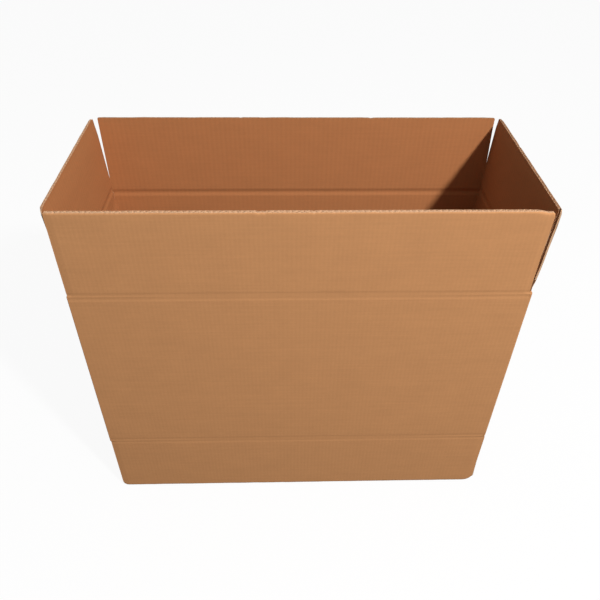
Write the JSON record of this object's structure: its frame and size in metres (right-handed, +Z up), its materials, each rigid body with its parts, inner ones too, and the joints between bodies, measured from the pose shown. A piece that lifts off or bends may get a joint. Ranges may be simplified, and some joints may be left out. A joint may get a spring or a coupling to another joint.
{
  "type": "cardboard box",
  "caption": "Tall slotted shipping carton of double-wall corrugated board, erected as a tube with its top and bottom flaps unfolded.",
  "frame": {"origin": "on the floor, under the middle of the tube, between the cut edges of the bottom flaps", "axes": "+Z up the walls, X along the long front and back walls, +Y from the front wall to the back wall"},
  "size_m": [0.6806, 0.298, 0.6081],
  "materials": {
    "board": "matt unbleached kraft liner"
  },
  "bodies": {
    "sleeve": {"sleeve": "board"},
    "front_top_flap": {"front_top_flap": "board"},
    "back_top_flap": {"back_top_flap": "board"},
    "left_top_flap": {"left_top_flap": "board"},
    "right_top_flap": {"right_top_flap": "board"},
    "front_bottom_flap": {"front_bottom_flap": "board"},
    "back_bottom_flap": {"back_bottom_flap": "board"},
    "left_bottom_flap": {"left_bottom_flap": "board"},
    "right_bottom_flap": {"right_bottom_flap": "board"}
  },
  "joints": [
    {"name": "front_top_fold", "type": "hinge", "parent": "sleeve", "child": "front_top_flap", "pos_m": [0, -0.148, 0.469], "axis": [-1, 0, 0], "range_deg": [-160, 90]},
    {"name": "back_top_fold", "type": "hinge", "parent": "sleeve", "child": "back_top_flap", "pos_m": [0, 0.148, 0.469], "axis": [1, 0, 0], "range_deg": [-160, 90]},
    {"name": "left_top_fold", "type": "hinge", "parent": "sleeve", "child": "left_top_flap", "pos_m": [-0.333, 0, 0.4765], "axis": [0, 1, 0], "range_deg": [-156.8, 93.2]},
    {"name": "right_top_fold", "type": "hinge", "parent": "sleeve", "child": "right_top_flap", "pos_m": [0.333, 0, 0.4765], "axis": [0, -1, 0], "range_deg": [-157.7, 92.3]},
    {"name": "front_bottom_fold", "type": "hinge", "parent": "sleeve", "child": "front_bottom_flap", "pos_m": [0, -0.148, 0.139], "axis": [1, 0, 0], "range_deg": [-160, 90]},
    {"name": "back_bottom_fold", "type": "hinge", "parent": "sleeve", "child": "back_bottom_flap", "pos_m": [0, 0.148, 0.139], "axis": [-1, 0, 0], "range_deg": [-160, 90]},
    {"name": "left_bottom_fold", "type": "hinge", "parent": "sleeve", "child": "left_bottom_flap", "pos_m": [-0.333, 0, 0.1315], "axis": [0, -1, 0], "range_deg": [-160, 90]},
    {"name": "right_bottom_fold", "type": "hinge", "parent": "sleeve", "child": "right_bottom_flap", "pos_m": [0.333, 0, 0.1315], "axis": [0, 1, 0], "range_deg": [-160, 90]}
  ]
}
